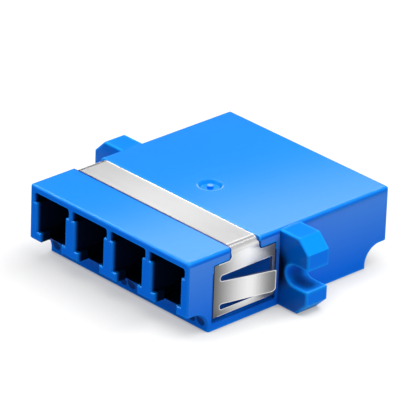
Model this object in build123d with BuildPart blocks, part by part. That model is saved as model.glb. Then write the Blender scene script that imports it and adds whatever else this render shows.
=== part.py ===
"""Four-port LC fibre adapter with a screw flange and a spring-steel panel clip.

X runs along the row of ports, -Y is the front, Z is up, and the unit is the millimetre.
The origin is on the resting face, straight below the middle of the flange.
The plugs go in with their latches facing down, so each mouth has its latch slot at the bottom.
"""

import math
import os

from build123d import *

# Row of ports
port_count = 4
port_pitch = 6.25
end_margin = 0.4
web_wall = 0.65
plug_width = 4.64
plug_height = 4.7
roof_wall = 0.9
shelf_height = 1.1
shelf_depth = 3.4
shelf_radius = 0.25
mouth_chamfer = 0.16
mouth_margin_share = 0.7

# Latch lip, latch slot and lug pocket below each plug
lip_height = 1.1
lip_depth = 1.5
latch_slot_width = 3.4
latch_slot_depth = 9.0
pocket_width = 5.6
pocket_length = 2.2
pocket_drop = 1.3

# Finger cove along the lower front and rear edges
cove_height = 2.6
cove_depth = 3.2
cove_radius = 2.2

# Body
body_length = 30.5
edge_radius = 0.3
relief_depth = 0.1
relief_band = 0.55
gate_diameter = 2.8
gate_floor_diameter = 2.2
gate_depth = 0.4
gate_rim_chamfer = 0.1
gate_nub_diameter = 0.75
gate_nub_height = 0.36

# Screw flange
flange_thickness = 3.2
flange_drop = 0.1
flange_chamfer = 1.55
flange_edge_chamfer = 0.12
notch_wall = 1.1
notch_radius = 1.3
notch_reach = 2.1
notch_drop = 0.2

# Alignment sleeves and the barrels that hold them
sleeve_length = 6.8
sleeve_outer = 1.62
sleeve_bore = 1.25
sleeve_slit = 0.25
sleeve_play = 0.04
sleeve_end_play = 0.1
barrel_wall = 0.5
barrel_lip = 0.35
barrel_chamfer = 0.15
ferrule_entry = 1.4
entry_mouth = 1.8
middle_wall = 1.2
retainer_plate = 1.0
retainer_play = 0.03
spigot_wall = 0.3
spigot_length = 0.5

# Spring-steel panel clip
clip_thickness = 0.35
clip_seat_play = 0.02
clip_edge_gap = 0.1
clip_bend_radius = 1.1
strip_width = 4.1
neck_radius = 0.45
plate_length = 9.1
plate_foot = 1.5
foot_gap = 0.45
plate_to_flange = 0.65
lower_bar = 0.72
lower_slot = 0.66
tab_root_height = 2.79
upper_slot = 0.69
upper_bar = 1.47
root_bar = 1.25
end_bar = 0.4
tab_end_gap = 0.8
tab_flare = 1.5
tab_tip_height = 2.6
tab_low_corner = 0.65
tab_high_corner = 0.3
tab_bend_radius = 0.6

# Edges within this distance of a plane count as lying on it
same_place = 0.01

# Body sizes worked out from the row of ports
body_width = port_count * port_pitch + 2 * end_margin
port_floor = cove_height + lip_height
port_roof = port_floor + plug_height
body_height = port_roof + roof_wall
axis_height = (port_floor + port_roof) / 2
pocket_floor = port_floor - pocket_drop
shelf_width = port_pitch - web_wall
port_x = [(index - (port_count - 1) / 2) * port_pitch for index in range(port_count)]
face_y = body_length / 2
mouth_margin = body_width / 2 - edge_radius - port_x[-1] - shelf_width / 2
mouth_edge = min(mouth_chamfer, mouth_margin_share * mouth_margin)

# The web across the middle is a housing wall and a retainer plate, centred together on y = 0
web_half = (middle_wall + retainer_plate) / 2
seat_y = middle_wall - web_half
sleeve_room = sleeve_outer + 2 * sleeve_play
barrel_outer = sleeve_room + 2 * barrel_wall
sleeve_stop = sleeve_length / 2 + sleeve_end_play
barrel_tip = sleeve_stop + barrel_lip
spigot_outer = sleeve_room + 2 * spigot_wall

# Flange sizes follow the body's side
notch_x = body_width / 2 + notch_wall + notch_radius
flange_half = notch_x + notch_reach
flange_top = body_height - flange_drop
notch_z = body_height / 2 - notch_drop

# Clip sizes follow the body's side and the flange's front face
clip_depth = clip_thickness + clip_seat_play
clip_inner_bend = clip_bend_radius - clip_thickness
plate_rear = -flange_thickness / 2 - plate_to_flange
plate_front = plate_rear - plate_length
clip_y = (plate_front + plate_rear) / 2
window_low = plate_foot + lower_bar
tab_low = window_low + lower_slot
tab_high = tab_low + tab_root_height
window_high = tab_high + upper_slot
shoulder = window_high + upper_bar
tab_root_y = plate_front + root_bar
window_end_y = plate_rear - end_bar
tab_tip_y = window_end_y - tab_end_gap
tab_angle = math.atan2(tab_flare, tab_tip_y - tab_root_y)


def port_void(depth):
    """Space of one port, from its mouth at y = 0 back to the given depth."""
    with BuildPart() as void:
        with BuildSketch(Plane.XZ):
            with Locations((0, axis_height)):
                Rectangle(plug_width, plug_height)
        extrude(amount=-depth)
        with BuildSketch(Plane.XZ) as mouth:
            with Locations((0, axis_height)):
                Rectangle(plug_width, plug_height)
            with Locations((0, port_roof - shelf_height / 2)):
                Rectangle(shelf_width, shelf_height)
            rows = mouth.vertices().group_by(Axis.Y)
            step_corners = rows[1].sort_by(lambda v: abs(v.X))[:2]
            fillet(rows[-1] + step_corners, shelf_radius)
        extrude(amount=-shelf_depth)
        with BuildSketch(Plane.XZ):
            with Locations((0, pocket_floor)):
                slot_height = axis_height - pocket_floor
                Rectangle(latch_slot_width, slot_height, align=(Align.CENTER, Align.MIN))
        extrude(amount=-latch_slot_depth)
        with BuildSketch(Plane.XZ.offset(-lip_depth)):
            with Locations((0, pocket_floor)):
                Rectangle(pocket_width, pocket_drop, align=(Align.CENTER, Align.MIN))
        extrude(amount=-pocket_length)
    return void.part


def clip_side_block(gap, foot):
    """Block with the clip's side view, a neck that widens into a plate, grown by the gap."""
    neck_half = strip_width / 2 + gap
    plate_half = plate_length / 2 + gap
    plate_top = shoulder + gap
    with BuildPart() as block:
        with BuildSketch(Plane.YZ) as view:
            with Locations((clip_y, foot)):
                Rectangle(2 * neck_half, 2 * body_height, align=(Align.CENTER, Align.MIN))
                Rectangle(2 * plate_half, plate_top - foot, align=(Align.CENTER, Align.MIN))
            inner_corners = view.vertices().sort_by_distance((clip_y, plate_top))[:2]
            fillet(inner_corners, neck_radius)
        extrude(amount=body_width, both=True)
    return block.part


def wrap_block(inset, bend, foot, gap):
    """Block with rounded top edges that lies inside the body's outline by the inset."""
    with BuildPart() as block:
        with BuildSketch(Plane.XZ.offset(-plate_rear - gap)) as section:
            with Locations((0, foot)):
                block_height = body_height - inset - foot
                Rectangle(body_width - 2 * inset, block_height, align=(Align.CENTER, Align.MIN))
            fillet(section.vertices().group_by(Axis.Y)[-1], bend)
        extrude(amount=plate_length + 2 * gap)
    return block.part


# Flange bar, added to the housing below
with BuildPart() as flange:
    with BuildSketch(Plane.XZ) as outline:
        with Locations((0, flange_top / 2)):
            Rectangle(2 * flange_half, flange_top)
        chamfer(outline.vertices(), flange_chamfer)
        with Locations((notch_x, notch_z), (-notch_x, notch_z)):
            Circle(notch_radius, mode=Mode.SUBTRACT)
        with Locations((flange_half, notch_z), (-flange_half, notch_z)):
            Rectangle(2 * notch_reach, 2 * notch_radius, mode=Mode.SUBTRACT)
    extrude(amount=flange_thickness / 2, both=True)
    chamfer(flange.faces().filter_by(Axis.Y).edges(), flange_edge_chamfer)

# Recess that the clip lies in, cut from the housing below
recess_foot = plate_foot - foot_gap
with BuildPart() as clip_recess:
    with Locations((0, clip_y, recess_foot)):
        recess_length = plate_length + 2 * clip_edge_gap
        Box(
            2 * body_width,
            recess_length,
            2 * body_height,
            align=(Align.CENTER, Align.CENTER, Align.MIN),
        )
    add(wrap_block(clip_depth, clip_inner_bend, recess_foot, clip_edge_gap), mode=Mode.SUBTRACT)
    add(clip_side_block(clip_edge_gap, recess_foot), mode=Mode.INTERSECT)

# Housing, one moulding with its flange, dividing walls, middle wall and front barrels
with BuildPart() as housing:
    Box(body_width, body_length, body_height, align=(Align.CENTER, Align.CENTER, Align.MIN))
    corners = housing.edges().filter_by(Axis.Z)
    top_edges = housing.faces().sort_by(Axis.Z)[-1].edges()
    fillet(corners + top_edges, edge_radius)

    # The sides behind the flange step in a little, up to a band below the top edge
    relief_height = body_height - relief_band
    relief_length = face_y - flange_thickness / 2
    with Locations((body_width / 2, face_y, 0), (-body_width / 2, face_y, 0)):
        Box(
            2 * relief_depth,
            2 * relief_length,
            2 * relief_height,
            mode=Mode.SUBTRACT,
        )
    add(flange.part)

    # Finger coves
    with BuildSketch(Plane.YZ) as coves:
        with Locations((-face_y, 0), (face_y, 0)):
            Rectangle(2 * cove_depth, 2 * cove_height)
        fillet(coves.vertices(), cove_radius)
    extrude(amount=body_width, both=True, mode=Mode.SUBTRACT)

    # Ports from the front reach the middle wall, and those from the rear the retainers' seat
    with Locations([(x, -face_y, 0) for x in port_x]):
        add(port_void(face_y - web_half), mode=Mode.SUBTRACT)
    with Locations([Location((x, face_y, 0), (0, 0, 180)) for x in port_x]):
        add(port_void(face_y - seat_y), mode=Mode.SUBTRACT)

    # Mouth edges of the ports
    mouth_edges = housing.edges().filter_by(
        lambda e: abs(abs(e.center().Y) - face_y) < same_place
        and cove_height - same_place < e.center().Z < port_roof + same_place
        and abs(e.center().X) < port_x[-1] + shelf_width / 2 + same_place
    )
    chamfer(mouth_edges, mouth_edge)

    # Front barrels on the middle wall, each with a lip that stops its sleeve
    with BuildSketch(Plane.XZ.offset(web_half)):
        with Locations([(x, axis_height) for x in port_x]):
            Circle(barrel_outer / 2)
    extrude(amount=barrel_tip - web_half)
    tips = housing.edges().filter_by(lambda e: abs(e.center().Y + barrel_tip) < same_place)
    chamfer(tips.filter_by(GeomType.CIRCLE), barrel_chamfer)
    with BuildSketch(Plane.XZ.offset(-seat_y)):
        with Locations([(x, axis_height) for x in port_x]):
            Circle(sleeve_room / 2)
    extrude(amount=seat_y + sleeve_stop, mode=Mode.SUBTRACT)
    with Locations([(x, -sleeve_stop - barrel_lip / 2, axis_height) for x in port_x]):
        Cone(
            ferrule_entry / 2,
            entry_mouth / 2,
            barrel_lip,
            rotation=(90, 0, 0),
            mode=Mode.SUBTRACT,
        )
    with BuildSketch(Plane.XZ.offset(-seat_y)):
        with Locations([(x, axis_height) for x in port_x]):
            Circle(spigot_outer / 2 + retainer_play)
    extrude(amount=spigot_length + retainer_play, mode=Mode.SUBTRACT)

    # Dished gate mark with its nub in the middle of the top
    with Locations((0, 0, body_height - gate_depth / 2)):
        Cone(gate_floor_diameter / 2, gate_diameter / 2, gate_depth, mode=Mode.SUBTRACT)
    circles = housing.edges().filter_by(GeomType.CIRCLE)
    gate_rim = circles.filter_by(lambda e: abs(e.center().Z - body_height) < same_place)
    chamfer(gate_rim, gate_rim_chamfer)
    with Locations((0, 0, body_height - gate_depth)):
        Cylinder(gate_nub_diameter / 2, 2 * gate_nub_height)

    add(clip_recess.part, mode=Mode.SUBTRACT)
housing.part.label = "housing"

# Flared spring tab of the clip, on the +X side
with BuildPart() as tab:
    lean = (clip_thickness * math.cos(tab_angle), clip_thickness * math.sin(tab_angle))
    outer_x = body_width / 2
    inner_x = outer_x - clip_thickness
    root_start = tab_root_y - root_bar / 2
    inner_bend_y = tab_root_y + clip_thickness * math.tan(tab_angle / 2)
    tip_far_y = tab_tip_y + lean[1]
    with BuildSketch(Plane.XY.offset(tab_low)) as plan:
        with BuildLine():
            Polyline(
                (outer_x, root_start),
                (outer_x, tab_root_y),
                (outer_x + tab_flare, tab_tip_y),
                (outer_x + tab_flare - lean[0], tip_far_y),
                (inner_x, inner_bend_y),
                (inner_x, root_start),
                close=True,
            )
        make_face()
        fillet(plan.vertices().sort_by_distance((outer_x, tab_root_y))[:1], tab_bend_radius)
        inner_bend = plan.vertices().sort_by_distance((inner_x, inner_bend_y))[:1]
        fillet(inner_bend, tab_bend_radius + clip_thickness)
    extrude(amount=tab_root_height)
    with BuildSketch(Plane.YZ) as side:
        with BuildLine():
            Polyline(
                (root_start, tab_low),
                (tip_far_y, tab_low),
                (tip_far_y, tab_low + tab_tip_height),
                (tab_root_y, tab_high),
                (root_start, tab_high),
                close=True,
            )
        make_face()
        tip_low = side.vertices().sort_by_distance((tip_far_y, tab_low))[:1]
        fillet(tip_low, tab_low_corner)
        tip_high = side.vertices().sort_by_distance((tip_far_y, tab_low + tab_tip_height))[:1]
        fillet(tip_high, tab_high_corner)
    extrude(amount=2 * body_width, mode=Mode.INTERSECT)

# Panel clip, folded from one strip of spring steel
with BuildPart() as panel_clip:
    add(wrap_block(0, clip_bend_radius, plate_foot, 0))
    add(wrap_block(clip_thickness, clip_inner_bend, plate_foot, 0), mode=Mode.SUBTRACT)
    add(clip_side_block(0, plate_foot), mode=Mode.INTERSECT)
    with BuildSketch(Plane.YZ):
        with Locations((tab_root_y, window_low)):
            window_length = window_end_y - tab_root_y
            window_height = window_high - window_low
            Rectangle(window_length, window_height, align=(Align.MIN, Align.MIN))
        with Locations((tab_root_y, window_low + lower_slot / 2)):
            Circle(lower_slot / 2)
        with Locations((tab_root_y, window_high - upper_slot / 2)):
            Circle(upper_slot / 2)
    extrude(amount=body_width, both=True, mode=Mode.SUBTRACT)
    add(tab.part)
    add(mirror(tab.part, about=Plane.YZ, mode=Mode.PRIVATE))
panel_clip.part.label = "panel_clip"

os.makedirs("parts", exist_ok=True)
export_step(housing.part, "parts/housing.step")
export_step(panel_clip.part, "parts/panel_clip.step")

# Split zirconia sleeve and rear retainer of each port
for number, x in enumerate(port_x, start=1):
    with BuildPart() as sleeve:
        with BuildSketch(Plane.XZ):
            with Locations((x, axis_height)):
                Circle(sleeve_outer / 2)
                Circle(sleeve_bore / 2, mode=Mode.SUBTRACT)
            with Locations((x, axis_height - sleeve_outer / 2)):
                Rectangle(sleeve_slit, sleeve_outer, mode=Mode.SUBTRACT)
        extrude(amount=sleeve_length / 2, both=True)
    sleeve.part.label = f"split_sleeve_{number}"
    export_step(sleeve.part, f"parts/split_sleeve_{number}.step")

    with BuildPart() as retainer:
        with BuildSketch(Plane.XZ.offset(-seat_y)):
            with Locations((x, axis_height)):
                Rectangle(plug_width - 2 * retainer_play, plug_height - 2 * retainer_play)
        extrude(amount=-retainer_plate)
        with BuildSketch(Plane.XZ.offset(-seat_y)):
            with Locations((x, axis_height)):
                Circle(spigot_outer / 2)
        extrude(amount=spigot_length)
        with BuildSketch(Plane.XZ.offset(-web_half)):
            with Locations((x, axis_height)):
                Circle(barrel_outer / 2)
        extrude(amount=web_half - barrel_tip)
        chamfer(retainer.faces().sort_by(Axis.Y)[-1].edges(), barrel_chamfer)
        with BuildSketch(Plane.XZ.offset(-sleeve_stop)):
            with Locations((x, axis_height)):
                Circle(sleeve_room / 2)
        extrude(amount=2 * sleeve_stop, mode=Mode.SUBTRACT)
        with Locations((x, sleeve_stop + barrel_lip / 2, axis_height)):
            Cone(
                ferrule_entry / 2,
                entry_mouth / 2,
                barrel_lip,
                rotation=(-90, 0, 0),
                mode=Mode.SUBTRACT,
            )
    retainer.part.label = f"sleeve_retainer_{number}"
    export_step(retainer.part, f"parts/sleeve_retainer_{number}.step")
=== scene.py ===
"""Looks of the four-port LC fibre adapter: materials, floor, studio light and camera."""

import math

import bpy
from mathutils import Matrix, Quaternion, Vector

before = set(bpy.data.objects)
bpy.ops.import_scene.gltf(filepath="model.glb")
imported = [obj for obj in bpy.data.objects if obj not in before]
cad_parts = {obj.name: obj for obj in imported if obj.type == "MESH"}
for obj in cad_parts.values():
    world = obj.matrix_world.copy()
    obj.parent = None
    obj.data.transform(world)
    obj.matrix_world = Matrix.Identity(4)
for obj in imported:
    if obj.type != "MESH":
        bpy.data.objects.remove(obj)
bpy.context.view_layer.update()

# Real sizes that the finishes follow, in millimetres
MM_PER_M = 1000
BODY_HALF_WIDTH = 12.9
BODY_HALF_LENGTH = 15.25
TOP_BAND = 8.75
RECESS_FLOOR = 12.53
PORT_SIDE = 12.4
PORT_ROOF = 8.45
POCKET_FLOOR = 2.4
PLATE_FRONT = -11.35
PLATE_REAR = -2.25
PLATE_HALF = 4.55
PLATE_FOOT = 1.5
PLATE_MIDDLE = 3.9
PLATE_MIDDLE_REACH = 3.1
STRIP_FRONT = -8.85
STRIP_REAR = -4.75
STRIP_HALF = 2.05
FOLD_START = 11.8
FOLD_STEPS = ((9.17, 9.07, -0.26), (8.9, 8.62, 0.36), (8.2, 6.6, -0.1))
COVE_WALL = 12.05
PIN_MARKS = (0.7, 10.35, 11.8)
PIN_HEIGHT = 1.1
TAB_MIDDLE = 4.6
TAB_SHADE_SQUEEZE = 0.6
EAR_END = 17.4
NOTCH_HEIGHT = 4.45
NOTCH_RADIUS = 1.3
GATE_RADIUS = 1.4
NUB_RADIUS = 0.375
EAR_HALF_THICKNESS = 1.6
PIN_RADIUS = 0.62
CLIP_SIDE_START = 12.2
CLIP_SIDE_FULL = 12.85

# Reach of painted shades and painted edge highlights, and places of the tones on the floor, in
# millimetres
EDGE_REACH = 0.33
EAR_EDGE_REACH = 0.45
STEEL_EDGE_REACH = 0.15
CREVICE_REACH = 2.2
TAB_SHADE_NEAR = 0.7
TAB_SHADE_FAR = 2.0
PORT_SHADE_START = 0.04
PORT_SHADE_FULL = 0.62
CONTACT_REACH = 5.0
TOUCH_REACH = 0.9
SHADOW_NEAR = -14.0
SHADOW_FAR = -24.0
SHADOW_ENDS = (("X", 5.5, 10.0), ("X", -11.0, -19.0), ("Y", -10.0, 0.0))
EAR_FLOOR_START = 15.0
EAR_FLOOR_FULL = 19.0
CARD_START = 12.5
CARD_FULL = 17.0
CARD_FRONT_START = -14.0
CARD_FRONT_FULL = -12.0


def hex_colour(text):
    """Linear colour of an sRGB hex value."""
    levels = [int(text[i:i + 2], 16) / 255 for i in (0, 2, 4)]
    linear = [v / 12.92 if v <= 0.04045 else ((v + 0.055) / 1.055) ** 2.4 for v in levels]
    return (*linear, 1)


def add_node(tree, kind, inputs=None, **settings):
    """Adds one node with its settings, and sets or links its inputs."""
    node = tree.nodes.new(kind)
    for name, value in settings.items():
        setattr(node, name, value)
    for name, value in (inputs or {}).items():
        if isinstance(value, bpy.types.NodeSocket):
            tree.links.new(value, node.inputs[name])
        else:
            node.inputs[name].default_value = value
    return node


def new_material(name):
    """Empty node material, with its tree and a vector in millimetres on the object."""
    material = bpy.data.materials.new(name)
    material.use_nodes = True
    tree = material.node_tree
    tree.nodes.clear()
    place = add_node(tree, "ShaderNodeTexCoord")
    scaled = add_node(
        tree,
        "ShaderNodeVectorMath",
        {0: place.outputs["Object"], "Scale": MM_PER_M},
        operation="SCALE",
    )
    return material, tree, scaled.outputs["Vector"]


def finish_material(tree, shader):
    """Links a shader to the material's output."""
    add_node(tree, "ShaderNodeOutputMaterial", {"Surface": shader.outputs[0]})


def wear(node_names, material):
    """Puts a material on CAD nodes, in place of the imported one."""
    for name in node_names:
        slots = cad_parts[name].data.materials
        slots.clear()
        slots.append(material)


# Moulded PBT, dyed blue: a satin skin with painted edge highlights, sheen and shade, dull and dark in the
# ports
def moulded_blue_pbt():
    material, tree, mm = new_material("moulded_blue_pbt")
    parts = add_node(tree, "ShaderNodeSeparateXYZ", {0: mm})
    across = add_node(tree, "ShaderNodeMath", {0: parts.outputs["X"]}, operation="ABSOLUTE")
    along = add_node(tree, "ShaderNodeMath", {0: parts.outputs["Y"]}, operation="ABSOLUTE")
    facing = add_node(tree, "ShaderNodeTexCoord")
    normal = add_node(tree, "ShaderNodeSeparateXYZ", {0: facing.outputs["Normal"]})
    flow = add_node(tree, "ShaderNodeTexNoise", {"Vector": mm, "Scale": 0.12, "Detail": 2.0})
    lit_dye = add_node(
        tree,
        "ShaderNodeMix",
        {
            "Factor": flow.outputs["Fac"],
            "A": hex_colour("037EEA"),
            "B": hex_colour("0482F0"),
        },
        data_type="RGBA",
    )
    # Painted shade: upright faces take a deeper blue than those turned up
    upward = add_node(
        tree,
        "ShaderNodeMapRange",
        {"Value": normal.outputs["Z"], "From Min": 0.2, "From Max": 0.6},
    )
    dye_and_upright_shade = add_node(
        tree,
        "ShaderNodeMix",
        {
            "Factor": upward.outputs["Result"],
            "A": hex_colour("026EEA"),
            "B": lit_dye.outputs["Result"],
        },
        data_type="RGBA",
    )
    # The ears are a clearer blue, with painted light that makes them brightest on the slanted corners and
    # below
    ears = add_node(
        tree,
        "ShaderNodeMath",
        {0: across.outputs[0], 1: BODY_HALF_WIDTH + 0.03},
        operation="GREATER_THAN",
    )
    level_top = add_node(
        tree,
        "ShaderNodeMapRange",
        {"Value": normal.outputs["Z"], "From Min": 0.75, "From Max": 0.95},
    )
    ear_slope_painted_light = add_node(
        tree,
        "ShaderNodeMix",
        {
            "Factor": level_top.outputs["Result"],
            "A": hex_colour("0090FF"),
            "B": hex_colour("047AE8"),
        },
        data_type="RGBA",
    )
    downward = add_node(
        tree,
        "ShaderNodeMapRange",
        {"Value": normal.outputs["Z"], "From Min": -0.2, "From Max": -0.6},
    )
    ear_underside_painted_light = add_node(
        tree,
        "ShaderNodeMix",
        {
            "Factor": downward.outputs["Result"],
            "A": hex_colour("0078F4"),
            "B": hex_colour("1EA0FF"),
        },
        data_type="RGBA",
    )
    ear_dye_and_painted_light = add_node(
        tree,
        "ShaderNodeMix",
        {
            "Factor": upward.outputs["Result"],
            "A": ear_underside_painted_light.outputs["Result"],
            "B": ear_slope_painted_light.outputs["Result"],
        },
        data_type="RGBA",
    )
    dye_and_painted_facing_light = add_node(
        tree,
        "ShaderNodeMix",
        {
            "Factor": ears.outputs[0],
            "A": dye_and_upright_shade.outputs["Result"],
            "B": ear_dye_and_painted_light.outputs["Result"],
        },
        data_type="RGBA",
    )
    # Painted pale sheen on the body's upright sides, strongest below the top edge
    sideways = add_node(tree, "ShaderNodeMath", {0: normal.outputs["X"]}, operation="ABSOLUTE")
    side_face = add_node(
        tree,
        "ShaderNodeMapRange",
        {"Value": sideways.outputs[0], "From Min": 0.9, "From Max": 0.99},
    )
    rise = add_node(
        tree,
        "ShaderNodeMapRange",
        {
            "Value": parts.outputs["Z"],
            "From Min": 1.0,
            "From Max": TOP_BAND,
            "To Min": 0.0,
            "To Max": 0.19,
        },
    )
    below_band = add_node(
        tree, "ShaderNodeMath", {0: parts.outputs["Z"], 1: TOP_BAND}, operation="LESS_THAN"
    )
    on_side = add_node(
        tree,
        "ShaderNodeMath",
        {0: across.outputs[0], 1: BODY_HALF_WIDTH, 2: 0.13},
        operation="COMPARE",
    )
    on_body = add_node(
        tree,
        "ShaderNodeMath",
        {0: below_band.outputs[0], 1: on_side.outputs[0]},
        operation="MULTIPLY",
    )
    side_below = add_node(
        tree,
        "ShaderNodeMath",
        {0: side_face.outputs["Result"], 1: on_body.outputs[0]},
        operation="MULTIPLY",
    )
    painted_sheen = add_node(
        tree,
        "ShaderNodeMath",
        {0: side_below.outputs[0], 1: rise.outputs["Result"]},
        operation="MULTIPLY",
    )
    with_painted_sheen = add_node(
        tree,
        "ShaderNodeMix",
        {"Factor": painted_sheen.outputs[0], "A": dye_and_painted_facing_light.outputs["Result"], "B": hex_colour("9EDAFF")},
        data_type="RGBA",
    )
    # Convex edges, found by how close another face lies behind the skin, take a painted highlight
    edge_reach = add_node(
        tree,
        "ShaderNodeMapRange",
        {
            "Value": ears.outputs[0],
            "To Min": EDGE_REACH / MM_PER_M,
            "To Max": EAR_EDGE_REACH / MM_PER_M,
        },
    )
    edge_room = add_node(
        tree,
        "ShaderNodeAmbientOcclusion",
        {"Distance": edge_reach.outputs["Result"]},
        samples=8,
        inside=True,
        only_local=True,
    )
    edge = add_node(
        tree,
        "ShaderNodeMapRange",
        {
            "Value": edge_room.outputs["AO"],
            "From Min": 0.95,
            "From Max": 0.62,
            "To Min": 0.0,
            "To Max": 0.9,
        },
    )
    # Around the clip the edge of the recess shows a dark line of painted shade
    from_clip = add_node(
        tree,
        "ShaderNodeMath",
        {0: parts.outputs["Y"], 1: (PLATE_FRONT + PLATE_REAR) / 2},
        operation="SUBTRACT",
    )
    off_clip = add_node(tree, "ShaderNodeMath", {0: from_clip.outputs[0]}, operation="ABSOLUTE")
    by_strip = add_node(
        tree, "ShaderNodeMath", {0: off_clip.outputs[0], 1: STRIP_HALF + 0.3}, operation="LESS_THAN"
    )
    by_plate_end = add_node(
        tree, "ShaderNodeMath", {0: off_clip.outputs[0], 1: PLATE_HALF + 0.3}, operation="LESS_THAN"
    )
    by_plate = add_node(
        tree,
        "ShaderNodeMath",
        {0: parts.outputs["Z"], 1: PLATE_MIDDLE, 2: PLATE_MIDDLE_REACH},
        operation="COMPARE",
    )
    plate_line = add_node(
        tree,
        "ShaderNodeMath",
        {0: by_plate_end.outputs[0], 1: by_plate.outputs[0]},
        operation="MULTIPLY",
    )
    above_plate = add_node(
        tree, "ShaderNodeMath", {0: parts.outputs["Z"], 1: PLATE_MIDDLE}, operation="GREATER_THAN"
    )
    on_roof = add_node(
        tree, "ShaderNodeMath", {0: parts.outputs["Z"], 1: TOP_BAND}, operation="GREATER_THAN"
    )
    behind_strip = add_node(
        tree, "ShaderNodeMath", {0: from_clip.outputs[0], 1: 0.0}, operation="GREATER_THAN"
    )
    roof_behind = add_node(
        tree,
        "ShaderNodeMath",
        {0: on_roof.outputs[0], 1: behind_strip.outputs[0]},
        operation="MULTIPLY",
    )
    line_height = add_node(
        tree,
        "ShaderNodeMath",
        {0: above_plate.outputs[0], 1: roof_behind.outputs[0]},
        operation="SUBTRACT",
    )
    strip_line = add_node(
        tree,
        "ShaderNodeMath",
        {0: by_strip.outputs[0], 1: line_height.outputs[0]},
        operation="MULTIPLY",
    )
    clip_line = add_node(
        tree,
        "ShaderNodeMath",
        {0: strip_line.outputs[0], 1: plate_line.outputs[0]},
        operation="MAXIMUM",
    )
    edge_highlight_colour = add_node(
        tree,
        "ShaderNodeMix",
        {
            "Factor": below_band.outputs[0],
            "A": hex_colour("2AA0FF"),
            "B": hex_colour("008EF8"),
        },
        data_type="RGBA",
    )
    ear_edge_highlight = add_node(
        tree,
        "ShaderNodeMix",
        {
            "Factor": level_top.outputs["Result"],
            "A": hex_colour("0898FF"),
            "B": hex_colour("38AEFF"),
        },
        data_type="RGBA",
    )
    all_edge_highlight = add_node(
        tree,
        "ShaderNodeMix",
        {
            "Factor": ears.outputs[0],
            "A": edge_highlight_colour.outputs["Result"],
            "B": ear_edge_highlight.outputs["Result"],
        },
        data_type="RGBA",
    )
    edge_colour = add_node(
        tree,
        "ShaderNodeMix",
        {
            "Factor": clip_line.outputs[0],
            "A": all_edge_highlight.outputs["Result"],
            "B": hex_colour("003A98"),
        },
        data_type="RGBA",
    )
    with_edge_highlights = add_node(
        tree,
        "ShaderNodeMix",
        {
            "Factor": edge.outputs["Result"],
            "A": with_painted_sheen.outputs["Result"],
            "B": edge_colour.outputs["Result"],
        },
        data_type="RGBA",
    )
    # Painted shade in corners and gaps
    crevice_room = add_node(
        tree,
        "ShaderNodeAmbientOcclusion",
        {"Distance": CREVICE_REACH / MM_PER_M},
        samples=8,
        only_local=True,
    )
    crevice = add_node(
        tree,
        "ShaderNodeMapRange",
        {
            "Value": crevice_room.outputs["AO"],
            "From Min": 0.68,
            "From Max": 0.2,
            "To Min": 0.0,
            "To Max": 0.85,
        },
    )
    clip_gap = add_node(
        tree,
        "ShaderNodeMapRange",
        {"Value": by_strip.outputs[0], "To Min": 1.0, "To Max": 0.4},
    )
    crevice_shade = add_node(
        tree,
        "ShaderNodeMath",
        {0: crevice.outputs["Result"], 1: clip_gap.outputs["Result"]},
        operation="MULTIPLY",
    )
    crevice_shaded = add_node(
        tree,
        "ShaderNodeMix",
        {"Factor": crevice_shade.outputs[0], "A": with_edge_highlights.outputs["Result"], "B": hex_colour("001434")},
        data_type="RGBA",
    )
    # The dish of the gate is one clear blue in place of the painted shade and highlights around it, with
    # a painted highlight on the rim at the front and on the top of the torn nub
    gate_place = add_node(
        tree, "ShaderNodeCombineXYZ", {"X": parts.outputs["X"], "Y": parts.outputs["Y"]}
    )
    gate_radius = add_node(
        tree, "ShaderNodeVectorMath", {0: gate_place.outputs[0]}, operation="LENGTH"
    )
    dish = add_node(
        tree,
        "ShaderNodeMath",
        {0: gate_radius.outputs["Value"], 1: GATE_RADIUS},
        operation="LESS_THAN",
    )
    in_dish = add_node(
        tree, "ShaderNodeMath", {0: dish.outputs[0], 1: on_roof.outputs[0]}, operation="MULTIPLY"
    )
    dished = add_node(
        tree,
        "ShaderNodeMix",
        {"Factor": in_dish.outputs[0], "A": crevice_shaded.outputs["Result"], "B": hex_colour("0088F8")},
        data_type="RGBA",
    )
    from_rim = add_node(
        tree,
        "ShaderNodeMath",
        {0: gate_radius.outputs["Value"], 1: GATE_RADIUS + 0.05},
        operation="SUBTRACT",
    )
    off_rim = add_node(tree, "ShaderNodeMath", {0: from_rim.outputs[0]}, operation="ABSOLUTE")
    rim = add_node(
        tree,
        "ShaderNodeMapRange",
        {"Value": off_rim.outputs[0], "From Min": 0.13, "From Max": 0.05},
    )
    frontward = add_node(
        tree,
        "ShaderNodeMath",
        {0: parts.outputs["X"], 1: parts.outputs["Y"]},
        operation="SUBTRACT",
    )
    rim_front = add_node(
        tree,
        "ShaderNodeMapRange",
        {
            "Value": frontward.outputs[0],
            "From Min": -0.4,
            "From Max": 0.5,
            "To Min": 0.0,
            "To Max": 0.5,
        },
    )
    rim_roof = add_node(
        tree,
        "ShaderNodeMath",
        {0: rim.outputs["Result"], 1: on_roof.outputs[0]},
        operation="MULTIPLY",
    )
    rim_painted_highlight = add_node(
        tree,
        "ShaderNodeMath",
        {0: rim_roof.outputs[0], 1: rim_front.outputs["Result"]},
        operation="MULTIPLY",
    )
    nub_top = add_node(
        tree,
        "ShaderNodeMapRange",
        {
            "Value": gate_radius.outputs["Value"],
            "From Min": NUB_RADIUS + 0.02,
            "From Max": NUB_RADIUS - 0.05,
            "To Min": 0.0,
            "To Max": 0.28,
        },
    )
    nub = add_node(
        tree,
        "ShaderNodeMath",
        {0: nub_top.outputs["Result"], 1: level_top.outputs["Result"]},
        operation="MULTIPLY",
    )
    nub_painted_highlight = add_node(
        tree, "ShaderNodeMath", {0: nub.outputs[0], 1: on_roof.outputs[0]}, operation="MULTIPLY"
    )
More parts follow.
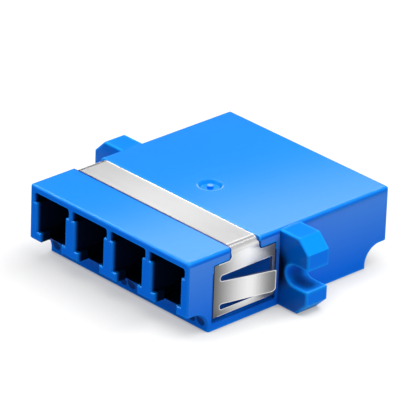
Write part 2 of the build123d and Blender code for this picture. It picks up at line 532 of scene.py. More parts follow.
    gate_painted_highlight = add_node(
        tree, "ShaderNodeMath", {0: rim_painted_highlight.outputs[0], 1: nub_painted_highlight.outputs[0]}, operation="MAXIMUM"
    )
    gated = add_node(
        tree,
        "ShaderNodeMix",
        {"Factor": gate_painted_highlight.outputs[0], "A": dished.outputs["Result"], "B": hex_colour("C0E2FF")},
        data_type="RGBA",
    )
    # Inside the ports little light arrives, and the skin there is dull from the slides of the mould
    inside_side = add_node(
        tree, "ShaderNodeMath", {0: across.outputs[0], 1: PORT_SIDE}, operation="LESS_THAN"
    )
    inside_roof = add_node(
        tree, "ShaderNodeMath", {0: parts.outputs["Z"], 1: PORT_ROOF}, operation="LESS_THAN"
    )
    inside_floor = add_node(
        tree,
        "ShaderNodeMath",
        {0: parts.outputs["Z"], 1: POCKET_FLOOR - 0.02},
        operation="GREATER_THAN",
    )
    depth = add_node(
        tree,
        "ShaderNodeMapRange",
        {
            "Value": along.outputs[0],
            "From Min": BODY_HALF_LENGTH - PORT_SHADE_START,
            "From Max": BODY_HALF_LENGTH - PORT_SHADE_FULL,
            "To Min": 0.0,
            "To Max": 0.97,
        },
        interpolation_type="SMOOTHSTEP",
    )
    between = add_node(
        tree,
        "ShaderNodeMath",
        {0: inside_roof.outputs[0], 1: inside_floor.outputs[0]},
        operation="MULTIPLY",
    )
    inside = add_node(
        tree,
        "ShaderNodeMath",
        {0: inside_side.outputs[0], 1: between.outputs[0]},
        operation="MULTIPLY",
    )
    # The tops of the ledges in the mouths lie in the shade of the roof
    ledge = add_node(
        tree,
        "ShaderNodeMapRange",
        {"Value": level_top.outputs["Result"], "To Min": 0.0, "To Max": 0.72},
    )
    depth_or_ledge = add_node(
        tree,
        "ShaderNodeMath",
        {0: depth.outputs["Result"], 1: ledge.outputs["Result"]},
        operation="MAXIMUM",
    )
    shade = add_node(
        tree,
        "ShaderNodeMath",
        {0: inside.outputs[0], 1: depth_or_ledge.outputs[0]},
        operation="MULTIPLY",
    )
    # The ears' front faces lose light towards the corner with the body, most behind the spring tab
    ear_front = add_node(
        tree,
        "ShaderNodeMapRange",
        {"Value": normal.outputs["Y"], "From Min": -0.9, "From Max": -0.99},
    )
    squeezed = add_node(
        tree, "ShaderNodeMath", {0: parts.outputs["Z"], 1: TAB_SHADE_SQUEEZE}, operation="MULTIPLY"
    )
    ear_place = add_node(
        tree, "ShaderNodeCombineXYZ", {"X": across.outputs[0], "Z": squeezed.outputs[0]}
    )
    from_tab = add_node(
        tree,
        "ShaderNodeVectorMath",
        {
            0: ear_place.outputs[0],
            1: (BODY_HALF_WIDTH, 0, TAB_MIDDLE * TAB_SHADE_SQUEEZE),
        },
        operation="DISTANCE",
    )
    # The left ear stands nearer to the front lamp and loses less
    least_lost = add_node(
        tree,
        "ShaderNodeMapRange",
        {
            "Value": parts.outputs["X"],
            "From Min": -BODY_HALF_WIDTH,
            "From Max": BODY_HALF_WIDTH,
            "To Min": 0.22,
            "To Max": 0.45,
        },
    )
    lost_light = add_node(
        tree,
        "ShaderNodeMapRange",
        {
            "Value": from_tab.outputs["Value"],
            "From Min": TAB_SHADE_NEAR,
            "From Max": TAB_SHADE_FAR,
            "To Min": 0.97,
            "To Max": least_lost.outputs["Result"],
        },
        interpolation_type="SMOOTHSTEP",
    )
    ear_mask = add_node(
        tree,
        "ShaderNodeMath",
        {0: ears.outputs[0], 1: ear_front.outputs["Result"]},
        operation="MULTIPLY",
    )
    ear_lost = add_node(
        tree,
        "ShaderNodeMath",
        {0: ear_mask.outputs[0], 1: lost_light.outputs["Result"]},
        operation="MULTIPLY",
    )
    off_edge = add_node(
        tree, "ShaderNodeMath", {0: 1.0, 1: edge.outputs["Result"]}, operation="SUBTRACT"
    )
    ear_shade = add_node(
        tree,
        "ShaderNodeMath",
        {0: ear_lost.outputs[0], 1: off_edge.outputs[0]},
        operation="MULTIPLY",
    )
    # Behind the clip's windows the floor of the recess lies in shade
    recess = add_node(
        tree,
        "ShaderNodeMath",
        {0: across.outputs[0], 1: RECESS_FLOOR, 2: 0.1},
        operation="COMPARE",
    )
    recess_shade = add_node(
        tree,
        "ShaderNodeMath",
        {0: recess.outputs[0], 1: side_face.outputs["Result"]},
        operation="MULTIPLY",
    )
    above_foot = add_node(
        tree,
        "ShaderNodeMapRange",
        {
            "Value": parts.outputs["Z"],
            "From Min": PLATE_FOOT - 0.1,
            "From Max": PLATE_FOOT + 0.3,
            "To Min": 0.1,
            "To Max": 0.55,
        },
    )
    recess_depth = add_node(
        tree,
        "ShaderNodeMath",
        {0: recess_shade.outputs[0], 1: above_foot.outputs["Result"]},
        operation="MULTIPLY",
    )
    outer_shade = add_node(
        tree,
        "ShaderNodeMath",
        {0: recess_depth.outputs[0], 1: ear_shade.outputs[0]},
        operation="MAXIMUM",
    )
    # Painted shade on the wall of each screw notch, darkest in the middle of its lower half
    in_notch = add_node(
        tree,
        "ShaderNodeMath",
        {0: parts.outputs["Z"], 1: NOTCH_HEIGHT, 2: NOTCH_RADIUS + 0.03},
        operation="COMPARE",
    )
    lengthwise = add_node(tree, "ShaderNodeMath", {0: normal.outputs["Y"]}, operation="ABSOLUTE")
    notch_wall = add_node(
        tree, "ShaderNodeMath", {0: lengthwise.outputs[0], 1: 0.5}, operation="LESS_THAN"
    )
    notch_middle = add_node(
        tree,
        "ShaderNodeMapRange",
        {"Value": along.outputs[0], "From Min": EAR_HALF_THICKNESS, "From Max": 0.2},
        interpolation_type="SMOOTHSTEP",
    )
    notch_depth = add_node(
        tree,
        "ShaderNodeMapRange",
        {
            "Value": across.outputs[0],
            "From Min": EAR_END - 0.1,
            "From Max": EAR_END - 1.2,
            "To Min": 0.0,
            "To Max": 0.62,
        },
        interpolation_type="SMOOTHSTEP",
    )
    notch_low = add_node(
        tree,
        "ShaderNodeMapRange",
        {
            "Value": parts.outputs["Z"],
            "From Min": NOTCH_HEIGHT + 0.2,
            "From Max": NOTCH_HEIGHT - NOTCH_RADIUS,
            "To Min": 0.35,
            "To Max": 1.0,
        },
    )
    notch_tone = add_node(
        tree,
        "ShaderNodeMath",
        {0: notch_depth.outputs["Result"], 1: notch_low.outputs["Result"]},
        operation="MULTIPLY",
    )
    notch_face = add_node(
        tree,
        "ShaderNodeMath",
        {0: in_notch.outputs[0], 1: notch_wall.outputs[0]},
        operation="MULTIPLY",
    )
    notch_on_ear = add_node(
        tree,
        "ShaderNodeMath",
        {0: notch_face.outputs[0], 1: ears.outputs[0]},
        operation="MULTIPLY",
    )
    notch_fade = add_node(
        tree,
        "ShaderNodeMath",
        {0: notch_middle.outputs["Result"], 1: notch_tone.outputs[0]},
        operation="MULTIPLY",
    )
    notch_shade = add_node(
        tree,
        "ShaderNodeMath",
        {0: notch_on_ear.outputs[0], 1: notch_fade.outputs[0]},
        operation="MULTIPLY",
    )
    shaded = add_node(
        tree,
        "ShaderNodeMath",
        {0: outer_shade.outputs[0], 1: notch_shade.outputs[0]},
        operation="MAXIMUM",
    )
    # Painted shade in round spots on the walls of the coves, standing in for the marks of the ejector
    # pins
    cove = add_node(
        tree,
        "ShaderNodeMath",
        {0: along.outputs[0], 1: COVE_WALL - 0.05},
        operation="GREATER_THAN",
    )
    pin_place = add_node(
        tree, "ShaderNodeCombineXYZ", {"X": across.outputs[0], "Z": parts.outputs["Z"]}
    )
    darkest = shaded
    for pin_x in PIN_MARKS:
        from_pin = add_node(
            tree,
            "ShaderNodeVectorMath",
            {0: pin_place.outputs[0], 1: (pin_x, 0, PIN_HEIGHT)},
            operation="DISTANCE",
        )
        pin = add_node(
            tree,
            "ShaderNodeMapRange",
            {
                "Value": from_pin.outputs["Value"],
                "From Min": PIN_RADIUS + 0.06,
                "From Max": PIN_RADIUS - 0.06,
                "To Min": 0.0,
                "To Max": 0.7,
            },
        )
        pin_shade = add_node(
            tree,
            "ShaderNodeMath",
            {0: pin.outputs["Result"], 1: cove.outputs[0]},
            operation="MULTIPLY",
        )
        darkest = add_node(
            tree,
            "ShaderNodeMath",
            {0: darkest.outputs[0], 1: pin_shade.outputs[0]},
            operation="MAXIMUM",
        )
    all_shade = add_node(
        tree, "ShaderNodeMath", {0: shade.outputs[0], 1: darkest.outputs[0]}, operation="MAXIMUM"
    )
    colour = add_node(
        tree,
        "ShaderNodeMix",
        {"Factor": all_shade.outputs[0], "A": gated.outputs["Result"], "B": hex_colour("000206")},
        data_type="RGBA",
    )
    dull = add_node(
        tree,
        "ShaderNodeMath",
        {0: ears.outputs[0], 1: side_face.outputs["Result"]},
        operation="MAXIMUM",
    )
    dull_skin = add_node(
        tree,
        "ShaderNodeMapRange",
        {"Value": dull.outputs[0], "To Min": 0.26, "To Max": 0.65},
    )
    # The end faces are the smoothest, shaped by the polished faces of the slides
    end_face = add_node(
        tree,
        "ShaderNodeMapRange",
        {"Value": lengthwise.outputs[0], "From Min": 0.9, "From Max": 0.99},
    )
    roughness = add_node(
        tree,
        "ShaderNodeMix",
        {"Factor": end_face.outputs["Result"], "A": dull_skin.outputs["Result"], "B": 0.14},
        data_type="FLOAT",
    )
    # The roof is drawn a little crowned, so that the sheen of the lamps grows along it
    bow_x = add_node(
        tree, "ShaderNodeMath", {0: parts.outputs["X"], 1: parts.outputs["X"]}, operation="MULTIPLY"
    )
    bow_y = add_node(
        tree, "ShaderNodeMath", {0: parts.outputs["Y"], 1: parts.outputs["Y"]}, operation="MULTIPLY"
    )
    bow = add_node(
        tree,
        "ShaderNodeMath",
        {0: bow_y.outputs[0], 1: 0.15, 2: bow_x.outputs[0]},
        operation="MULTIPLY_ADD",
    )
    # The floor of the dish is crowned more, so that its rear half loses the sheen
    dish_square = add_node(
        tree, "ShaderNodeMath", {0: gate_radius.outputs["Value"], 1: 2.0}, operation="POWER"
    )
    dish_bow = add_node(
        tree,
        "ShaderNodeMath",
        {0: dish_square.outputs[0], 1: GATE_RADIUS * GATE_RADIUS},
        operation="MINIMUM",
    )
    all_bow = add_node(
        tree,
        "ShaderNodeMath",
        {0: dish_bow.outputs[0], 1: 5.0, 2: bow.outputs[0]},
        operation="MULTIPLY_ADD",
    )
    roof = add_node(
        tree,
        "ShaderNodeMapRange",
        {"Value": normal.outputs["Z"], "From Min": 0.9, "From Max": 0.99},
    )
    rounded = add_node(tree, "ShaderNodeBevel", {"Radius": 0.00008}, samples=6)
    crown = add_node(
        tree,
        "ShaderNodeBump",
        {
            "Height": all_bow.outputs[0],
            "Strength": roof.outputs["Result"],
            "Distance": 0.0000065,
            "Normal": rounded.outputs["Normal"],
        },
        invert=True,
    )
    # The grain of the mould, drawn about 0.1 mm wide, coarser than the real one, so that it can show
    grain = add_node(tree, "ShaderNodeTexNoise", {"Vector": mm, "Scale": 9.0, "Detail": 3.0})
    skin = add_node(
        tree,
        "ShaderNodeBump",
        {
            "Height": grain.outputs["Fac"],
            "Strength": 0.05,
            "Distance": 0.00002,
            "Normal": crown.outputs["Normal"],
        },
    )
    shader = add_node(
        tree,
        "ShaderNodeBsdfPrincipled",
        {
            "Base Color": colour.outputs["Result"],
            "Roughness": roughness.outputs["Result"],
            "Specular IOR Level": 0.085,
            "IOR": 1.5,
            "Normal": skin.outputs["Normal"],
        },
    )
    finish_material(tree, shader)
    return material


# Cold-rolled spring steel: a bright satin strip with faint rolling lines, and side plates with a painted
# band of reflection
def rolled_spring_steel():
    material, tree, mm = new_material("rolled_spring_steel")
    parts = add_node(tree, "ShaderNodeSeparateXYZ", {0: mm})
    across = add_node(tree, "ShaderNodeMath", {0: parts.outputs["X"]}, operation="ABSOLUTE")
    # Rolling lines run the length of the sheet, drawn about 0.2 mm apart, wider than the real ones
    stretched = add_node(
        tree, "ShaderNodeVectorMath", {0: mm, 1: (0.25, 5.0, 0.25)}, operation="MULTIPLY"
    )
    lines = add_node(
        tree, "ShaderNodeTexNoise", {"Vector": stretched.outputs["Vector"], "Scale": 1.0, "Detail": 3.0}
    )
    tone = add_node(
        tree,
        "ShaderNodeMix",
        {"Factor": lines.outputs["Fac"], "A": hex_colour("E4E4E4"), "B": hex_colour("ECECEC")},
        data_type="RGBA",
    )
    # A painted bright band of reflection lies across the middle of each side, which darkens to the front
    # and to the rear
    front_shade = add_node(
        tree,
        "ShaderNodeMapRange",
        {
            "Value": parts.outputs["Y"],
            "From Min": PLATE_FRONT - 0.6,
            "From Max": PLATE_FRONT + 5.2,
            "To Min": 0.14,
            "To Max": 1.0,
        },
        interpolation_type="SMOOTHSTEP",
    )
    flare = add_node(
        tree, "ShaderNodeMath", {0: across.outputs[0], 1: BODY_HALF_WIDTH}, operation="SUBTRACT"
    )
    behind = add_node(
        tree,
        "ShaderNodeMath",
        {0: flare.outputs[0], 1: 0.9, 2: parts.outputs["Y"]},
        operation="MULTIPLY_ADD",
    )
    rear_shade = add_node(
        tree,
        "ShaderNodeMapRange",
        {
            "Value": behind.outputs[0],
            "From Min": PLATE_REAR - 4.2,
            "From Max": PLATE_REAR + 0.2,
            "To Min": 1.0,
            "To Max": 0.22,
        },
        interpolation_type="SMOOTHSTEP",
    )
    painted_band = add_node(
        tree,
        "ShaderNodeMath",
        {0: front_shade.outputs["Result"], 1: rear_shade.outputs["Result"]},
        operation="MULTIPLY",
    )
    side = add_node(
        tree,
        "ShaderNodeMapRange",
        {"Value": across.outputs[0], "From Min": CLIP_SIDE_START, "From Max": CLIP_SIDE_FULL},
        interpolation_type="SMOOTHSTEP",
    )
    facing = add_node(tree, "ShaderNodeTexCoord")
    normal = add_node(tree, "ShaderNodeSeparateXYZ", {0: facing.outputs["Normal"]})
    upright = add_node(
        tree,
        "ShaderNodeMapRange",
        {"Value": normal.outputs["Z"], "From Min": 0.8, "From Max": 0.3},
    )
    # Cut edges are left out of the painted band and stay bright, apart from the front one
    edge_room = add_node(
        tree,
        "ShaderNodeAmbientOcclusion",
        {"Distance": STEEL_EDGE_REACH / MM_PER_M},
        samples=8,
        inside=True,
        only_local=True,
    )
    edge = add_node(
        tree,
        "ShaderNodeMapRange",
        {
            "Value": edge_room.outputs["AO"],
            "From Min": 0.65,
            "From Max": 0.92,
        },
    )
    outline = add_node(
        tree,
        "ShaderNodeMath",
        {0: parts.outputs["Y"], 1: PLATE_FRONT + 0.6},
        operation="LESS_THAN",
    )
    rim = add_node(
        tree,
        "ShaderNodeMath",
        {0: edge.outputs["Result"], 1: outline.outputs[0]},
        operation="MAXIMUM",
    )
    flat = add_node(
        tree,
        "ShaderNodeMath",
        {0: upright.outputs["Result"], 1: rim.outputs[0]},
        operation="MULTIPLY",
    )
    painted_band_mask = add_node(
        tree,
        "ShaderNodeMath",
        {0: flat.outputs[0], 1: side.outputs["Result"]},
        operation="MULTIPLY",
    )
    painted_band_level = add_node(
        tree,
        "ShaderNodeMix",
        {"Factor": painted_band_mask.outputs[0], "A": 1.0, "B": painted_band.outputs[0]},
        data_type="FLOAT",
    )
    # The flat strip takes a lower tone than the sprung plates, with painted shade towards its ends
    strip_ends = add_node(
        tree,
        "ShaderNodeMapRange",
        {
            "Value": across.outputs[0],
            "From Min": 1.0,
            "From Max": BODY_HALF_WIDTH,
            "To Min": 0.375,
            "To Max": 0.3,
        },
        interpolation_type="SMOOTHSTEP",
    )
    strip = add_node(
        tree,
        "ShaderNodeMapRange",
        {"Value": normal.outputs["Z"], "From Min": 0.86, "From Max": 0.95},
        interpolation_type="SMOOTHSTEP",
    )
    roof = add_node(
        tree, "ShaderNodeMath", {0: parts.outputs["Z"], 1: TOP_BAND}, operation="GREATER_THAN"
    )
    strip_mask = add_node(
        tree,
        "ShaderNodeMath",
        {0: strip.outputs["Result"], 1: roof.outputs[0]},
        operation="MULTIPLY",
    )
    painted_shine = add_node(
        tree,
        "ShaderNodeMix",
        {
            "Factor": strip_mask.outputs[0],
            "A": painted_band_level.outputs["Result"],
            "B": strip_ends.outputs["Result"],
        },
        data_type="FLOAT",
    )
    # Painted shade in a dark line along the strip's front edge
    front_edge_shade = add_node(
        tree,
        "ShaderNodeMapRange",
        {
            "Value": parts.outputs["Y"],
            "From Min": STRIP_FRONT + 0.04,
            "From Max": STRIP_FRONT + 0.14,
            "To Min": 0.35,
            "To Max": 1.0,
        },
    )
    # Painted shade on the outside of the fold, and a painted highlight along the strip's rear edge
    fold_in = add_node(
        tree,
        "ShaderNodeMapRange",
        {
            "Value": parts.outputs["X"],
            "From Min": FOLD_START - 0.06,
            "From Max": FOLD_START + 0.2,
            "To Min": 1.0,
            "To Max": 0.16,
        },
    )
    fold_out = add_node(
        tree,
        "ShaderNodeMapRange",
        {
            "Value": parts.outputs["X"],
            "From Min": FOLD_START + 0.36,
            "From Max": FOLD_START + 0.62,
            "To Min": 0.16,
            "To Max": 1.0,
        },
    )
    fold_painted_shade = add_node(
        tree,
        "ShaderNodeMath",
        {0: fold_in.outputs["Result"], 1: fold_out.outputs["Result"]},
        operation="MAXIMUM",
    )
    rear_edge_highlight = add_node(
        tree,
        "ShaderNodeMapRange",
        {
            "Value": parts.outputs["Y"],
            "From Min": STRIP_REAR - 0.22,
            "From Max": STRIP_REAR - 0.12,
            "To Min": 1.0,
            "To Max": 2.0,
        },
    )
    painted_rim_and_fold = add_node(
        tree,
        "ShaderNodeMath",
        {0: fold_painted_shade.outputs[0], 1: rear_edge_highlight.outputs["Result"]},
        operation="MULTIPLY",
    )
    strip_painted_tone = add_node(
        tree,
        "ShaderNodeMath",
        {0: painted_rim_and_fold.outputs[0], 1: front_edge_shade.outputs["Result"]},
        operation="MULTIPLY",
    )
    strip_painted_level = add_node(
        tree,
        "ShaderNodeMix",
        {"Factor": strip_mask.outputs[0], "A": 1.0, "B": strip_painted_tone.outputs[0]},
        data_type="FLOAT",
    )
    # Down the fold a band of painted shade, and below it a painted highlight where the plate is at its
    # brightest
    fold_painted_steps = painted_shine.outputs["Result"]
    for top, foot, change in FOLD_STEPS:
        step = add_node(
            tree,
            "ShaderNodeMapRange",
            {
                "Value": parts.outputs["Z"],
                "From Min": top,
                "From Max": foot,
                "To Min": 0.0,
                "To Max": change,
            },
            interpolation_type="SMOOTHSTEP",
        )
        fold_painted_steps = add_node(
            tree,
            "ShaderNodeMath",
            {0: painted_shine.outputs["Result"], 1: step.outputs["Result"], 2: fold_painted_steps},
            operation="MULTIPLY_ADD",
        ).outputs[0]
    toned = add_node(
        tree,
        "ShaderNodeMath",
        {0: fold_painted_steps, 1: strip_painted_level.outputs["Result"]},
        operation="MULTIPLY",
    )
    colour = add_node(
        tree,
        "ShaderNodeVectorMath",
        {0: tone.outputs["Result"], "Scale": toned.outputs[0]},
        operation="SCALE",
    )
    roughness = add_node(
        tree,
        "ShaderNodeMapRange",
        {"Value": lines.outputs["Fac"], "To Min": 0.24, "To Max": 0.28},
    )
    rolled = add_node(
        tree,
        "ShaderNodeBump",
        {"Height": lines.outputs["Fac"], "Strength": 0.01, "Distance": 0.00002},
    )
    # Towards the rear of the plates, beside the ears, the steel is made partly non-metallic, so that it
    # shows more grey and mirrors the blue ear less
    rear_nonmetal = add_node(
        tree,
        "ShaderNodeMapRange",
        {
            "Value": behind.outputs[0],
            "From Min": PLATE_REAR - 3.4,
            "From Max": PLATE_REAR - 0.8,
            "To Min": 0.0,
            "To Max": 0.65,
        },
        interpolation_type="SMOOTHSTEP",
    )
    rear_nonmetal_on_side = add_node(
        tree,
        "ShaderNodeMath",
        {0: rear_nonmetal.outputs["Result"], 1: painted_band_mask.outputs[0]},
        operation="MULTIPLY",
    )
    metal_share = add_node(
        tree, "ShaderNodeMath", {0: 1.0, 1: rear_nonmetal_on_side.outputs[0]}, operation="SUBTRACT"
    )
    shader = add_node(
        tree,
        "ShaderNodeBsdfPrincipled",
        {
            "Base Color": colour.outputs["Vector"],
            "Metallic": metal_share.outputs[0],
            "Roughness": roughness.outputs["Result"],
            "Normal": rolled.outputs["Normal"],
        },
    )
    finish_material(tree, shader)
    return material


# Sintered zirconia: a hard cream-white ceramic, ground and polished, that lets a little light in
def polished_zirconia():
    material, tree, mm = new_material("polished_zirconia")
    cloud = add_node(tree, "ShaderNodeTexNoise", {"Vector": mm, "Scale": 0.8, "Detail": 2.0})
    tone = add_node(
        tree,
        "ShaderNodeMix",
        {"Factor": cloud.outputs["Fac"], "A": hex_colour("F3F1E8"), "B": hex_colour("FAF9F3")},
        data_type="RGBA",
    )
    shader = add_node(
        tree,
        "ShaderNodeBsdfPrincipled",
        {
            "Base Color": tone.outputs["Result"],
            "Roughness": 0.15,
            "IOR": 2.1,
            "Subsurface Weight": 0.15,
            "Subsurface Scale": 0.0004,
        },
    )
    finish_material(tree, shader)
    return material


blue = moulded_blue_pbt()
wear(["housing"] + [f"sleeve_retainer_{n}" for n in range(1, 5)], blue)
wear(["panel_clip"], rolled_spring_steel())
wear([f"split_sleeve_{n}" for n in range(1, 5)], polished_zirconia())

# Pale floor, white to the camera; reflections see it dark, with a bright card along each side of the body
OPEN_FLOOR = 1.06
bpy.ops.object.select_all(action="DESELECT")
bpy.ops.mesh.primitive_plane_add(size=6, location=(0, 0, 0))
floor = bpy.context.active_object
floor.name = "floor"
floor_material, floor_tree, floor_mm = new_material("matt_white_paper")
floor_rays = add_node(floor_tree, "ShaderNodeLightPath")
floor_parts = add_node(floor_tree, "ShaderNodeSeparateXYZ", {0: floor_mm})
paper_colour = add_node(
    floor_tree,
    "ShaderNodeMix",
    {
        "Factor": floor_rays.outputs["Is Camera Ray"],
        "A": (0.5, 0.5, 0.5, 1),
        "B": (0.9, 0.9, 0.9, 1),
    },
    data_type="RGBA",
)
paper = add_node(floor_tree, "ShaderNodeBsdfDiffuse", {"Color": paper_colour.outputs["Result"]})
# Shadow where the body is near the floor, and a darker line where it touches
contact = add_node(
    floor_tree,
    "ShaderNodeAmbientOcclusion",
    {"Distance": CONTACT_REACH / MM_PER_M},
    samples=16,
)
contact_level = add_node(
    floor_tree,
    "ShaderNodeMapRange",
    {
        "Value": contact.outputs["AO"],
        "From Min": 0.4,
        "From Max": 0.92,
        "To Min": 0.62,
        "To Max": OPEN_FLOOR,
    },
)
touch = add_node(
    floor_tree,
    "ShaderNodeAmbientOcclusion",
    {"Distance": TOUCH_REACH / MM_PER_M},
    samples=16,
)
touch_level = add_node(
    floor_tree,
    "ShaderNodeMapRange",
    {
        "Value": touch.outputs["AO"],
        "From Min": 0.45,
        "From Max": 0.8,
        "To Min": 0.64,
        "To Max": 1.0,
    },
)
floor_level = add_node(
    floor_tree,
    "ShaderNodeMath",
    {0: contact_level.outputs["Result"], 1: touch_level.outputs["Result"]},
    operation="MULTIPLY",
)
# A long soft shadow lies in front of the body and fades out before its right end
front_fade = add_node(
    floor_tree,
    "ShaderNodeMapRange",
    {
        "Value": floor_parts.outputs["Y"],
        "From Min": SHADOW_FAR,
        "From Max": SHADOW_NEAR,
        "To Min": 1.03,
        "To Max": 0.74,
    },
)
no_shadow = 0.0
for axis, start, end in SHADOW_ENDS:
    past = add_node(
        floor_tree,
        "ShaderNodeMapRange",
        {"Value": floor_parts.outputs[axis], "From Min": start, "From Max": end},
        interpolation_type="SMOOTHSTEP",
    )
    no_shadow = add_node(
        floor_tree,
        "ShaderNodeMath",
        {0: no_shadow, 1: past.outputs["Result"]},
        operation="MAXIMUM",
    ).outputs[0]
front_level = add_node(
    floor_tree,
    "ShaderNodeMix",
    {"Factor": no_shadow, "A": front_fade.outputs["Result"], "B": OPEN_FLOOR},
    data_type="FLOAT",
)
shadow_level = add_node(
    floor_tree,
    "ShaderNodeMath",
    {0: floor_level.outputs[0], 1: front_level.outputs["Result"]},
    operation="MINIMUM",
)
# Past the right ear the floor is open again
beside_ears = add_node(
    floor_tree,
    "ShaderNodeMapRange",
    {
        "Value": floor_parts.outputs["X"],
        "From Min": EAR_FLOOR_START,
        "From Max": EAR_FLOOR_FULL,
    },
    interpolation_type="SMOOTHSTEP",
)
open_level = add_node(
    floor_tree,
    "ShaderNodeMix",
    {"Factor": beside_ears.outputs["Result"], "A": shadow_level.outputs[0], "B": OPEN_FLOOR},
    data_type="FLOAT",
)
lift = add_node(floor_tree, "ShaderNodeEmission", {"Strength": open_level.outputs["Result"]})
lift_share = add_node(
    floor_tree,
    "ShaderNodeMapRange",
    {"Value": floor_rays.outputs["Is Camera Ray"], "To Min": 0.0, "To Max": 0.75},
)
lit_paper = add_node(
    floor_tree,
    "ShaderNodeMixShader",
    {0: lift_share.outputs["Result"], 1: paper.outputs[0], 2: lift.outputs[0]},
)
# On the left the card starts behind the front ports, which would mirror it
beside_body = add_node(
    floor_tree,
    "ShaderNodeMapRange",
    {
        "Value": floor_parts.outputs["Y"],
        "From Min": CARD_FRONT_START,
        "From Max": CARD_FRONT_FULL,
        "To Min": 0.0,
        "To Max": -1.0,
    },
)
left_side = add_node(
    floor_tree,
    "ShaderNodeMath",
    {0: floor_parts.outputs["X"], 1: beside_body.outputs["Result"]},
    operation="MULTIPLY",
)
card_place = add_node(
    floor_tree,
    "ShaderNodeMath",
    {0: floor_parts.outputs["X"], 1: left_side.outputs[0]},
    operation="MAXIMUM",
)
card = add_node(
    floor_tree,
    "ShaderNodeMapRange",
    {
        "Value": card_place.outputs[0],
        "From Min": CARD_START,
        "From Max": CARD_FULL,
        "To Min": 0.08,
        "To Max": 1.15,
    },
    interpolation_type="SMOOTHSTEP",
)
mirrored = add_node(floor_tree, "ShaderNodeEmission", {"Strength": card.outputs["Result"]})
seen_floor = add_node(
    floor_tree,
    "ShaderNodeMixShader",
    {0: floor_rays.outputs["Is Glossy Ray"], 1: lit_paper.outputs[0], 2: mirrored.outputs[0]},
)
finish_material(floor_tree, seen_floor)
floor.data.materials.append(floor_material)

# Plain white surroundings, with a softbox on the left and a card on the right that only reflections see
world = bpy.data.worlds.new("studio")
bpy.context.scene.world = world
world.use_nodes = True
world_tree = world.node_tree
world_tree.nodes.clear()
rays = add_node(world_tree, "ShaderNodeLightPath")
sky_place = add_node(world_tree, "ShaderNodeTexCoord")
sky_parts = add_node(world_tree, "ShaderNodeSeparateXYZ", {0: sky_place.outputs["Generated"]})
# Lower and upper borders of the softbox and of the card: degrees above the floor, from dark to bright
SKY_BORDERS = {
    "box_low": (26, 50),
    "box_high": (57, 44),
    "card_low": (8, 20),
    "card_high": (42, 30),
}
border = {
    name: add_node(
        world_tree,
        "ShaderNodeMapRange",
        {
            "Value": sky_parts.outputs["Z"],
            "From Min": math.sin(math.radians(dark)),
            "From Max": math.sin(math.radians(bright)),
        },
        interpolation_type="SMOOTHSTEP",
    ).outputs["Result"]
    for name, (dark, bright) in SKY_BORDERS.items()
}
box_side = add_node(
    world_tree,
    "ShaderNodeMapRange",
    {"Value": sky_parts.outputs["X"], "From Min": -0.05, "From Max": -0.35},
    interpolation_type="SMOOTHSTEP",
)
box_height = add_node(
    world_tree,
    "ShaderNodeMath",
    {0: border["box_low"], 1: border["box_high"]},
    operation="MULTIPLY",
)
left_sky = add_node(
    world_tree,
    "ShaderNodeMapRange",
    {"Value": box_height.outputs[0], "To Min": 0.3, "To Max": 20.0},
)
card_height = add_node(
    world_tree,
    "ShaderNodeMath",
    {0: border["card_low"], 1: border["card_high"]},
    operation="MULTIPLY",
)
card_front = add_node(
    world_tree,
    "ShaderNodeMapRange",
    {
        "Value": sky_parts.outputs["Y"],
        "From Min": 0.15,
        "From Max": -0.25,
        "To Min": 0.2,
        "To Max": 1.0,
    },
    interpolation_type="SMOOTHSTEP",
)
card_light = add_node(
    world_tree,
    "ShaderNodeMath",
    {0: card_height.outputs[0], 1: card_front.outputs["Result"]},
    operation="MULTIPLY",
)
right_sky = add_node(
    world_tree,
    "ShaderNodeMapRange",
    {"Value": card_light.outputs[0], "To Min": 0.8, "To Max": 2.6},
)
softbox = add_node(
    world_tree,
    "ShaderNodeMix",
    {
        "Factor": box_side.outputs["Result"],
        "A": right_sky.outputs["Result"],
        "B": left_sky.outputs["Result"],
    },
    data_type="FLOAT",
)
bounced = add_node(
    world_tree,
    "ShaderNodeMix",
    {"Factor": rays.outputs["Is Glossy Ray"], "A": 0.25, "B": softbox.outputs["Result"]},
    data_type="FLOAT",
)
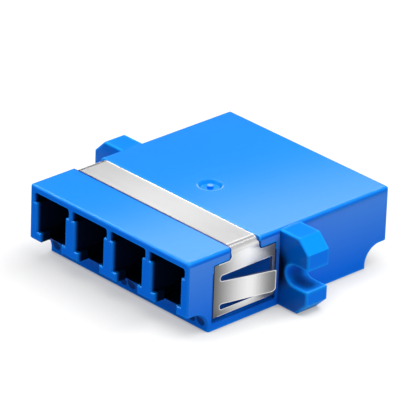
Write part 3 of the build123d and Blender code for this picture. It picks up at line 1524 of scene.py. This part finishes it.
seen = add_node(
    world_tree,
    "ShaderNodeMix",
    {"Factor": rays.outputs["Is Camera Ray"], "A": bounced.outputs["Result"], "B": 1.0},
    data_type="FLOAT",
)
sky = add_node(
    world_tree,
    "ShaderNodeBackground",
    {"Color": (1, 1, 1, 1), "Strength": seen.outputs["Result"]},
)
add_node(world_tree, "ShaderNodeOutputWorld", {"Surface": sky.outputs[0]})


def add_sun(name, direction, strength, spread):
    """Soft sun from the given direction; a face square to it takes in the given strength."""
    lamp = bpy.data.lights.new(name, "SUN")
    lamp.energy = strength * math.pi
    lamp.angle = math.radians(spread)
    holder = bpy.data.objects.new(name, lamp)
    towards = Vector(direction).normalized()
    holder.location = towards
    holder.rotation_euler = towards.to_track_quat("Z", "Y").to_euler()
    holder.visible_glossy = False
    bpy.context.collection.objects.link(holder)


add_sun("overhead", (0.05, 0.1, 1), 0.74, 60)
add_sun("front_left", (-0.6, -0.75, 0.55), 0.27, 50)
add_sun("right", (0.55, 0.1, 0.83), 0.36, 50)

# Camera, matched to the edges of the body in the photograph
CAMERA_AZIMUTH = math.radians(45.91)
CAMERA_ELEVATION = math.radians(26.12)
CAMERA_ROLL = math.radians(2.143)
CAMERA_DISTANCE = 0.4875
CAMERA_LENS = 379.2
CAMERA_SENSOR = 36
CAMERA_TARGET = Vector((0.000296, -0.0005, 0.006684))
back = Vector((
    math.sin(CAMERA_AZIMUTH) * math.cos(CAMERA_ELEVATION),
    -math.cos(CAMERA_AZIMUTH) * math.cos(CAMERA_ELEVATION),
    math.sin(CAMERA_ELEVATION),
))
camera_data = bpy.data.cameras.new("camera")
camera_data.lens = CAMERA_LENS
camera_data.sensor_width = CAMERA_SENSOR
camera_data.clip_start = 0.01
camera_data.clip_end = 20
camera = bpy.data.objects.new("camera", camera_data)
camera.location = CAMERA_TARGET + back * CAMERA_DISTANCE
camera.rotation_mode = "QUATERNION"
camera.rotation_quaternion = back.to_track_quat("Z", "Y") @ Quaternion((0, 0, 1), CAMERA_ROLL)
bpy.context.collection.objects.link(camera)
bpy.context.scene.camera = camera

bpy.context.scene.view_settings.view_transform = "Standard"
